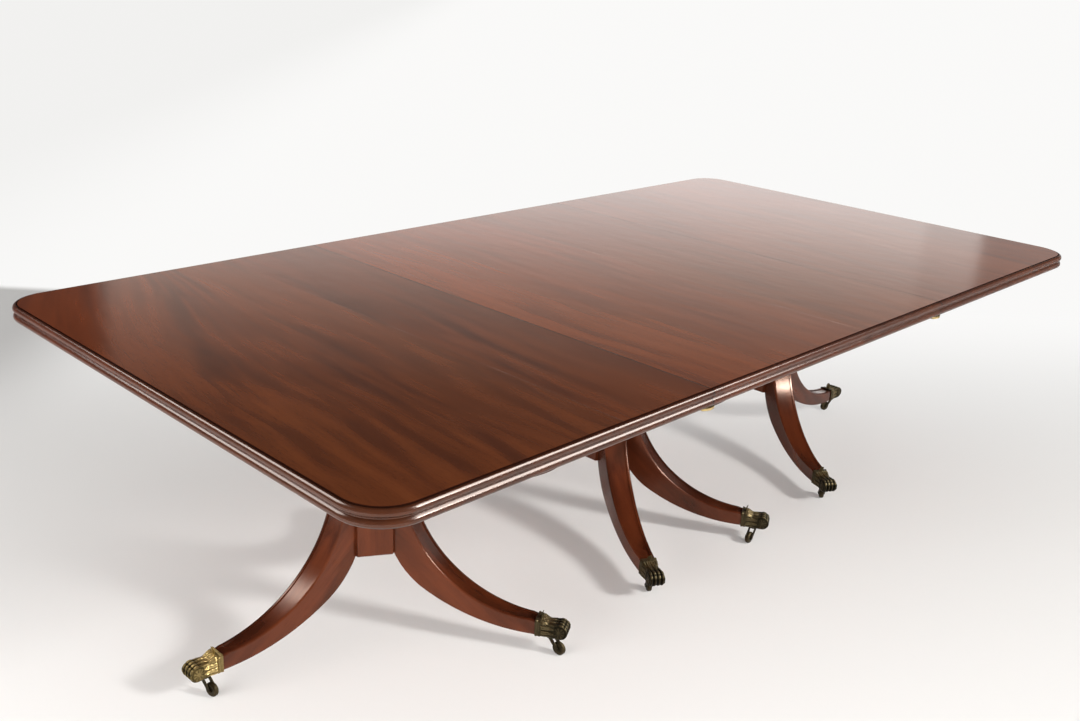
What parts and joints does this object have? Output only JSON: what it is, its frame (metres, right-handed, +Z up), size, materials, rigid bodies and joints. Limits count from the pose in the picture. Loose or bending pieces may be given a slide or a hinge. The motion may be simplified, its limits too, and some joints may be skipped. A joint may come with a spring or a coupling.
{
  "type": "triple pedestal dining table",
  "caption": "Long rectangular dining table with rounded corners, in sections joined by brass clips, on turned pedestals with sabre legs and brass cap castors; the end tops tilt up.",
  "frame": {"origin": "on the floor, under the middle of the table top", "axes": "+X along the table from the near end to the far end, +Y across it to the back long side, +Z up"},
  "size_m": [2.706, 1.414, 0.735],
  "materials": {
    "top_mahogany": "french polished, figured",
    "base_mahogany": "french polished",
    "bearer_mahogany": "planed, unpolished",
    "castor_brass": "cast, aged",
    "wheel_brass": "turned, worn",
    "fitting_brass": "bright, lightly tarnished"
  },
  "bodies": {
    "base": {"centre_top": "top_mahogany", "centre_bearers": "bearer_mahogany", "near_top_block": "bearer_mahogany", "centre_top_block": "bearer_mahogany", "far_top_block": "bearer_mahogany", "near_column": "base_mahogany", "centre_column": "base_mahogany", "far_column": "base_mahogany", "near_leg_end": "base_mahogany", "near_leg_front": "base_mahogany", "near_leg_back": "base_mahogany", "centre_leg_front_near": "base_mahogany", "centre_leg_front_far": "base_mahogany", "centre_leg_back_near": "base_mahogany", "centre_leg_back_far": "base_mahogany", "far_leg_end": "base_mahogany", "far_leg_front": "base_mahogany", "far_leg_back": "base_mahogany", "near_castor_caps": "castor_brass", "centre_castor_caps": "castor_brass", "far_castor_caps": "castor_brass", "pivot_pins": "fitting_brass", "catch_strikers": "fitting_brass", "centre_clip_keepers": "fitting_brass", "centre_catch_case": "fitting_brass"},
    "near_top": {"near_end_top": "top_mahogany", "near_bearers": "bearer_mahogany", "near_clip_keepers": "fitting_brass", "near_catch_case": "fitting_brass"},
    "far_top": {"far_end_top": "top_mahogany", "far_bearers": "bearer_mahogany", "far_clip_keepers": "fitting_brass", "far_catch_case": "fitting_brass"},
    "near_bolt": {"near_catch_bolt": "fitting_brass"},
    "centre_bolt": {"centre_catch_bolt": "fitting_brass"},
    "far_bolt": {"far_catch_bolt": "fitting_brass"},
    "near_clip_front": {"near_clip_front": "fitting_brass"},
    "near_clip_back": {"near_clip_back": "fitting_brass"},
    "far_clip_front": {"far_clip_front": "fitting_brass"},
    "far_clip_back": {"far_clip_back": "fitting_brass"},
    "near_end_fork": {"near_end_fork": "castor_brass"},
    "near_end_wheel": {"near_end_wheel": "wheel_brass"},
    "near_front_fork": {"near_front_fork": "castor_brass"},
    "near_front_wheel": {"near_front_wheel": "wheel_brass"},
    "near_back_fork": {"near_back_fork": "castor_brass"},
    "near_back_wheel": {"near_back_wheel": "wheel_brass"},
    "centre_front_near_fork": {"centre_front_near_fork": "castor_brass"},
    "centre_front_near_wheel": {"centre_front_near_wheel": "wheel_brass"},
    "centre_front_far_fork": {"centre_front_far_fork": "castor_brass"},
    "centre_front_far_wheel": {"centre_front_far_wheel": "wheel_brass"},
    "centre_back_near_fork": {"centre_back_near_fork": "castor_brass"},
    "centre_back_near_wheel": {"centre_back_near_wheel": "wheel_brass"},
    "centre_back_far_fork": {"centre_back_far_fork": "castor_brass"},
    "centre_back_far_wheel": {"centre_back_far_wheel": "wheel_brass"},
    "far_end_fork": {"far_end_fork": "castor_brass"},
    "far_end_wheel": {"far_end_wheel": "wheel_brass"},
    "far_front_fork": {"far_front_fork": "castor_brass"},
    "far_front_wheel": {"far_front_wheel": "wheel_brass"},
    "far_back_fork": {"far_back_fork": "castor_brass"},
    "far_back_wheel": {"far_back_wheel": "wheel_brass"}
  },
  "joints": [
    {"name": "near_top_tilt", "type": "hinge", "parent": "base", "child": "near_top", "pos_m": [-0.982, 0, 0.6777], "axis": [0, -1, 0], "range_deg": [0, 88]},
    {"name": "far_top_tilt", "type": "hinge", "parent": "base", "child": "far_top", "pos_m": [0.982, 0, 0.6777], "axis": [0, 1, 0], "range_deg": [0, 88]},
    {"name": "near_bolt_slide", "type": "slide", "parent": "near_top", "child": "near_bolt", "axis": [-1, 0, 0], "range_m": [0, 0.018]},
    {"name": "centre_bolt_slide", "type": "slide", "parent": "base", "child": "centre_bolt", "axis": [-1, 0, 0], "range_m": [0, 0.018]},
    {"name": "far_bolt_slide", "type": "slide", "parent": "far_top", "child": "far_bolt", "axis": [1, 0, 0], "range_m": [0, 0.018]},
    {"name": "near_clip_front_slide", "type": "slide", "parent": "base", "child": "near_clip_front", "axis": [0, -1, 0], "range_m": [0, 0.045]},
    {"name": "near_clip_back_slide", "type": "slide", "parent": "base", "child": "near_clip_back", "axis": [0, 1, 0], "range_m": [0, 0.045]},
    {"name": "far_clip_front_slide", "type": "slide", "parent": "base", "child": "far_clip_front", "axis": [0, -1, 0], "range_m": [0, 0.045]},
    {"name": "far_clip_back_slide", "type": "slide", "parent": "base", "child": "far_clip_back", "axis": [0, 1, 0], "range_m": [0, 0.045]},
    {"name": "near_end_swivel", "type": "hinge", "parent": "base", "child": "near_end_fork", "pos_m": [-1.272, 0, 0.045], "axis": [0, 0, 1], "continuous": true},
    {"name": "near_end_roll", "type": "hinge", "parent": "near_end_fork", "child": "near_end_wheel", "pos_m": [-1.26783, -0.02363, 0.0165], "axis": [0.9848, 0.1736, 0], "continuous": true},
    {"name": "near_front_swivel", "type": "hinge", "parent": "base", "child": "near_front_fork", "pos_m": [-0.594, -0.39144, 0.045], "axis": [0, 0, 1], "continuous": true},
    {"name": "near_front_roll", "type": "hinge", "parent": "near_front_fork", "child": "near_front_wheel", "pos_m": [-0.59066, -0.41521, 0.0165], "axis": [0.9903, 0.1392, 0], "continuous": true},
    {"name": "near_back_swivel", "type": "hinge", "parent": "base", "child": "near_back_fork", "pos_m": [-0.594, 0.39144, 0.045], "axis": [0, 0, 1], "continuous": true},
    {"name": "near_back_roll", "type": "hinge", "parent": "near_back_fork", "child": "near_back_wheel", "pos_m": [-0.60021, 0.36826, 0.0165], "axis": [0.9659, -0.2588, 0], "continuous": true},
    {"name": "centre_front_near_swivel", "type": "hinge", "parent": "base", "child": "centre_front_near_fork", "pos_m": [-0.226, -0.39144, 0.045], "axis": [0, 0, 1], "continuous": true},
    {"name": "centre_front_near_roll", "type": "hinge", "parent": "centre_front_near_fork", "child": "centre_front_near_wheel", "pos_m": [-0.21122, -0.37253, 0.0165], "axis": [-0.788, 0.6157, 0], "continuous": true},
    {"name": "centre_front_far_swivel", "type": "hinge", "parent": "base", "child": "centre_front_far_fork", "pos_m": [0.226, -0.39144, 0.045], "axis": [0, 0, 1], "continuous": true},
    {"name": "centre_front_far_roll", "type": "hinge", "parent": "centre_front_far_fork", "child": "centre_front_far_wheel", "pos_m": [0.20236, -0.39561, 0.0165], "axis": [0.1736, -0.9848, 0], "continuous": true},
    {"name": "centre_back_near_swivel", "type": "hinge", "parent": "base", "child": "centre_back_near_fork", "pos_m": [-0.226, 0.39144, 0.045], "axis": [0, 0, 1], "continuous": true},
    {"name": "centre_back_near_roll", "type": "hinge", "parent": "centre_back_near_fork", "child": "centre_back_near_wheel", "pos_m": [-0.20761, 0.37602, 0.0165], "axis": [0.6428, 0.766, 0], "continuous": true},
    {"name": "centre_back_far_swivel", "type": "hinge", "parent": "base", "child": "centre_back_far_fork", "pos_m": [0.226, 0.39144, 0.045], "axis": [0, 0, 1], "continuous": true},
    {"name": "centre_back_far_roll", "type": "hinge", "parent": "centre_back_far_fork", "child": "centre_back_far_wheel", "pos_m": [0.20903, 0.37447, 0.0165], "axis": [0.7071, -0.7071, 0], "continuous": true},
    {"name": "far_end_swivel", "type": "hinge", "parent": "base", "child": "far_end_fork", "pos_m": [1.272, 0, 0.045], "axis": [0, 0, 1], "continuous": true},
    {"name": "far_end_roll", "type": "hinge", "parent": "far_end_fork", "child": "far_end_wheel", "pos_m": [1.24852, 0.00499, 0.0165], "axis": [-0.2079, -0.9781, 0], "continuous": true},
    {"name": "far_front_swivel", "type": "hinge", "parent": "base", "child": "far_front_fork", "pos_m": [0.594, -0.39144, 0.045], "axis": [0, 0, 1], "continuous": true},
    {"name": "far_front_roll", "type": "hinge", "parent": "far_front_fork", "child": "far_front_wheel", "pos_m": [0.61291, -0.37667, 0.0165], "axis": [-0.6157, 0.788, 0], "continuous": true},
    {"name": "far_back_swivel", "type": "hinge", "parent": "base", "child": "far_back_fork", "pos_m": [0.594, 0.39144, 0.045], "axis": [0, 0, 1], "continuous": true},
    {"name": "far_back_roll", "type": "hinge", "parent": "far_back_fork", "child": "far_back_wheel", "pos_m": [0.60452, 0.36987, 0.0165], "axis": [0.8988, 0.4384, 0], "continuous": true}
  ]
}
